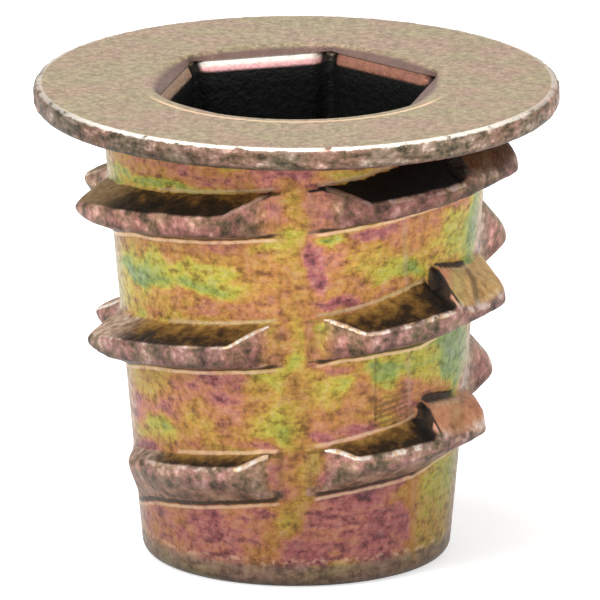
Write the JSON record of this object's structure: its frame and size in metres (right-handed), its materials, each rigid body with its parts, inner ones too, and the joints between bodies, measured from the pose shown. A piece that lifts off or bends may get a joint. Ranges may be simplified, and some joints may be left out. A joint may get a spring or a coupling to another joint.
{
  "type": "threaded insert",
  "caption": "Flanged threaded insert for wood: tapered cast body with a coarse interrupted outer thread, a hex socket in the flange and a machine-thread bore.",
  "frame": {"origin": "centre of the narrow tip's end face, where the insert stands", "axes": "+Z along the bore, from the narrow tip up to the flange; -Y towards the plain strip between the thread's two front ridges"},
  "size_m": [0.0174, 0.0174, 0.016],
  "materials": {
    "chromated_zinc": "as-cast zinc alloy with an iridescent yellow conversion coating"
  },
  "bodies": {
    "root": {"insert": "chromated_zinc"}
  },
  "joints": []
}
